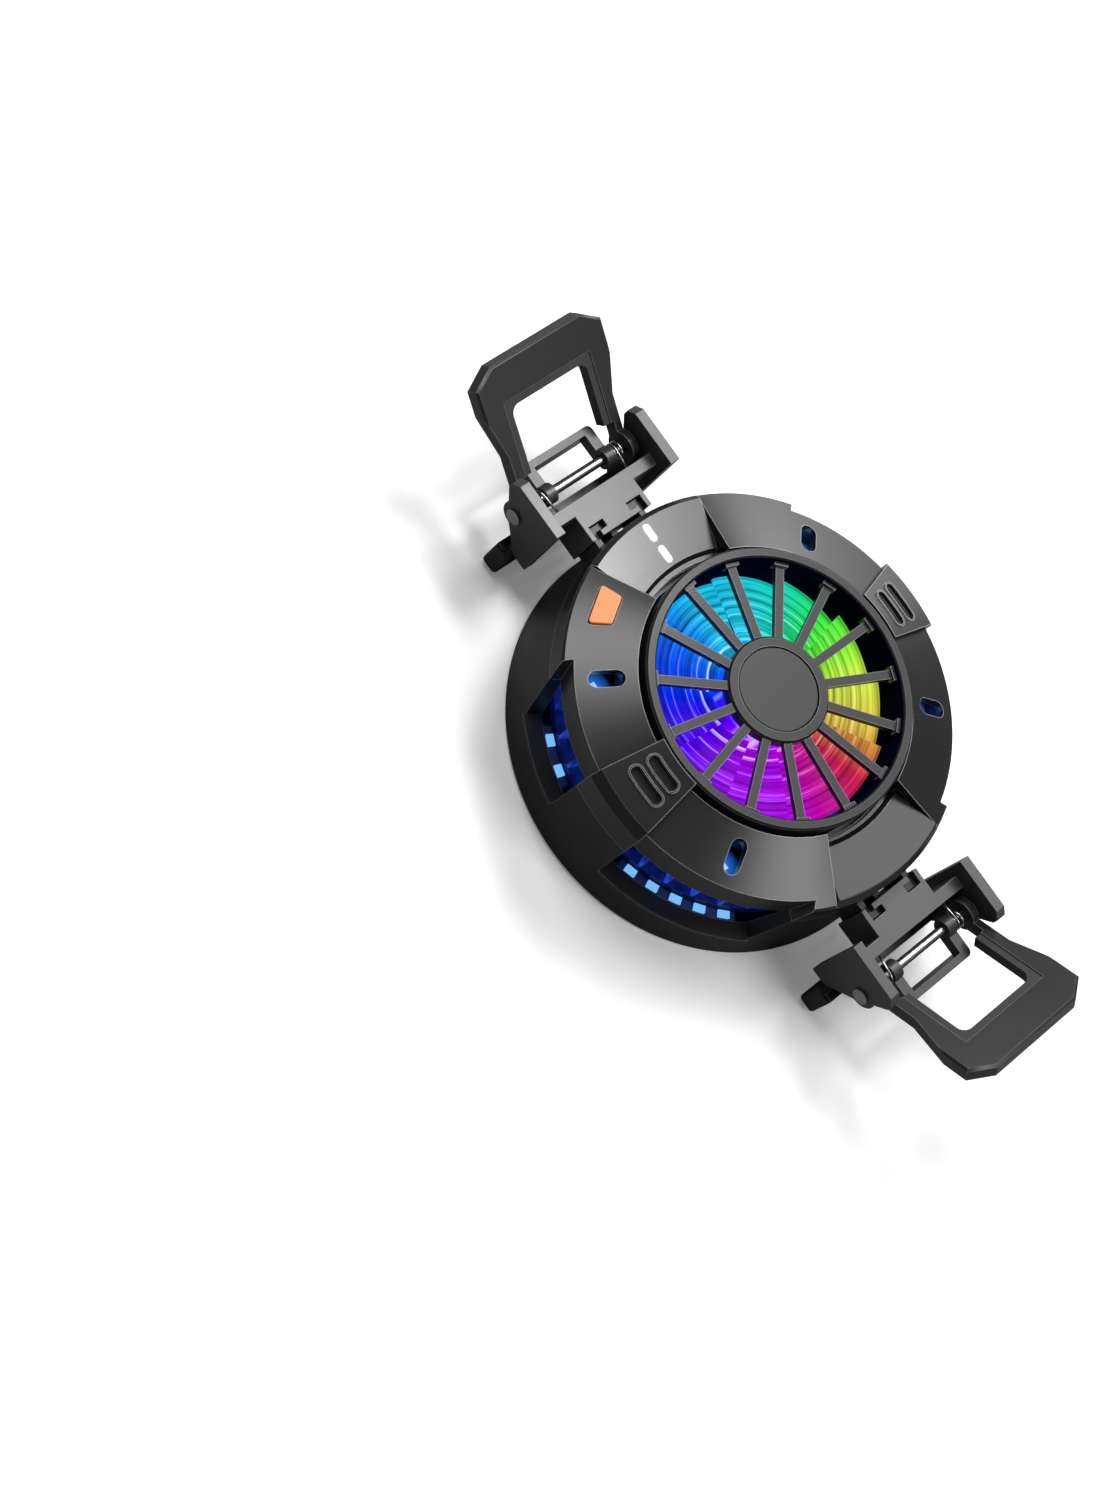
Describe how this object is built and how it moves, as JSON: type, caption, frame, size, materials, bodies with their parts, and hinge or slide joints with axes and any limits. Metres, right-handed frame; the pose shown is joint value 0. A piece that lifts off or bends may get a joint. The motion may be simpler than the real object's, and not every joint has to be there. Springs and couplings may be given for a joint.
{
  "type": "phone cooling fan",
  "caption": "Round clip-on phone cooler with a spoked fan grille, dark gray conical front, lit side vents, orange button and sprung clamp arms with looped handles.",
  "frame": {"origin": "centre of the back face that lies on the phone", "axes": "+Z out of the front grille, +X along the clip axis towards the status panel"},
  "size_m": [0.1242, 0.066, 0.025],
  "materials": {
    "housing_plastic": "satin black moulded plastic",
    "trim_plastic": "satin dark gray moulded plastic",
    "carrier_plastic": "satin gray moulded plastic",
    "arm_plastic": "satin dark gray moulded plastic",
    "bail_plastic": "satin dark moulded plastic",
    "fan_plastic": "translucent fan, lit in many colours",
    "duct_plastic": "dark navy plastic",
    "button_plastic": "orange plastic",
    "switch_plastic": "black plastic",
    "pad_silicone": "soft black silicone",
    "contact_silicone": "soft gray thermal silicone",
    "gasket_foam": "closed-cell foam",
    "liner_rubber": "soft black rubber",
    "plate_aluminium": "machined",
    "sink_aluminium": "aluminium lit blue",
    "module_ceramic": "matt white ceramic",
    "magnet_metal": "nickel-plated magnet",
    "brass_sleeve": "sintered bronze",
    "stator_steel": "laminated steel with windings",
    "board_laminate": "solder-masked laminate",
    "chip_light": "cool white light package",
    "strip_light": "blue light strip",
    "status_light": "white light guide",
    "screw_steel": "plated steel",
    "axle_steel": "ground steel pin",
    "spring_steel": "spring wire",
    "socket_steel": "stamped steel shell"
  },
  "bodies": {
    "body": {"base_shell": "housing_plastic", "cover_ring": "pad_silicone", "magnet_ring": "magnet_metal", "contact_pad": "contact_silicone", "cold_plate": "plate_aluminium", "peltier_module": "module_ceramic", "foam_gasket": "gasket_foam", "heat_sink": "sink_aluminium", "light_strips": "strip_light", "fan_duct": "duct_plastic", "bearing_sleeve": "brass_sleeve", "stator": "stator_steel", "fan_grille": "trim_plastic", "hub_cap": "trim_plastic", "front_bezel": "trim_plastic", "status_panel": "trim_plastic", "plain_panel": "trim_plastic", "status_lights": "status_light", "grip_block_near": "trim_plastic", "grip_block_far": "trim_plastic", "circuit_board": "board_laminate", "board_lights": "chip_light", "push_switch": "switch_plastic", "case_screws": "screw_steel", "inlet_socket": "socket_steel"},
    "fan": {"fan_rotor": "fan_plastic", "fan_shaft": "screw_steel", "rotor_magnet": "magnet_metal"},
    "button": {"power_button": "button_plastic"},
    "carrier_right": {"carrier_right": "carrier_plastic", "axle_right": "axle_steel", "torsion_springs_right": "spring_steel"},
    "arm_right": {"clamp_arm_right": "arm_plastic", "handle_liner_right": "liner_rubber", "jaw_pad_right": "liner_rubber"},
    "bail_right": {"lock_bail_right": "bail_plastic"},
    "carrier_left": {"carrier_left": "carrier_plastic", "axle_left": "axle_steel", "torsion_springs_left": "spring_steel"},
    "arm_left": {"clamp_arm_left": "arm_plastic", "handle_liner_left": "liner_rubber", "jaw_pad_left": "liner_rubber"},
    "bail_left": {"lock_bail_left": "bail_plastic"}
  },
  "joints": [
    {"name": "fan_spin", "type": "hinge", "parent": "body", "child": "fan", "pos_m": [0, 0, 0.0182], "axis": [0, 0, 1], "continuous": true},
    {"name": "button_press", "type": "slide", "parent": "body", "child": "button", "axis": [-0.3001, -0.1789, -0.937], "range_m": [0, 0.0004], "stiffness_N_per_m": 500, "springref_m": -0.001},
    {"name": "carrier_slide_right", "type": "slide", "parent": "body", "child": "carrier_right", "axis": [0, 0, 1], "range_m": [0, 0.007]},
    {"name": "clamp_right", "type": "hinge", "parent": "carrier_right", "child": "arm_right", "pos_m": [0.0426, 0, 0.013], "axis": [0, -1, 0], "range_deg": [0, 35], "stiffness_Nm_per_rad": 0.01, "springref_deg": -34.38, "deforming": ["torsion_springs_right"]},
    {"name": "bail_right", "type": "hinge", "parent": "carrier_right", "child": "bail_right", "pos_m": [0.0426, 0, 0.013], "axis": [0, -1, 0], "range_deg": [0, 60]},
    {"name": "carrier_slide_left", "type": "slide", "parent": "body", "child": "carrier_left", "axis": [0, 0, 1], "range_m": [0, 0.007]},
    {"name": "clamp_left", "type": "hinge", "parent": "carrier_left", "child": "arm_left", "pos_m": [-0.0426, 0, 0.013], "axis": [0, 1, 0], "range_deg": [0, 35], "stiffness_Nm_per_rad": 0.01, "springref_deg": -34.38, "deforming": ["torsion_springs_left"]},
    {"name": "bail_left", "type": "hinge", "parent": "carrier_left", "child": "bail_left", "pos_m": [-0.0426, 0, 0.013], "axis": [0, 1, 0], "range_deg": [0, 60]}
  ]
}
